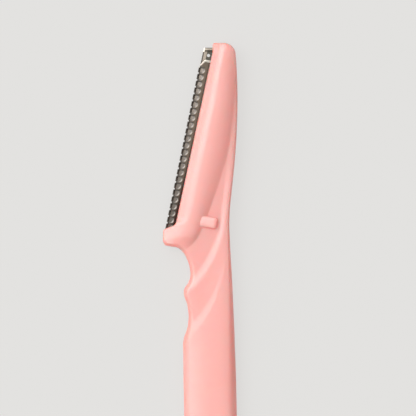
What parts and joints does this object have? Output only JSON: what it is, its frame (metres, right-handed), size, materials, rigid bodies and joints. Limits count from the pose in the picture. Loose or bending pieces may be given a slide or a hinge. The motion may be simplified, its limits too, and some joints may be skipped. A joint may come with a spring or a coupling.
{
  "type": "eyebrow razor",
  "caption": "Slim moulded eyebrow razor with a waisted finger grip, a leaning sculpted head and a straight steel blade behind a perforated safety guard.",
  "frame": {"origin": "on the handle's axis, halfway along the razor, on the flat back that it rests on", "axes": "+Z out of the front face, +Y along the handle to the tip of the head, +X towards the spine, away from the blade"},
  "size_m": [0.0149, 0.15, 0.0049],
  "materials": {
    "moulding": "satin gloss, pale peach pink",
    "blade_steel": "ground and polished",
    "guard_foil": "etched foil, dull"
  },
  "bodies": {
    "root": {"handle": "moulding", "clamp_bar": "moulding", "blade": "blade_steel", "blade_guard": "guard_foil"}
  },
  "joints": []
}
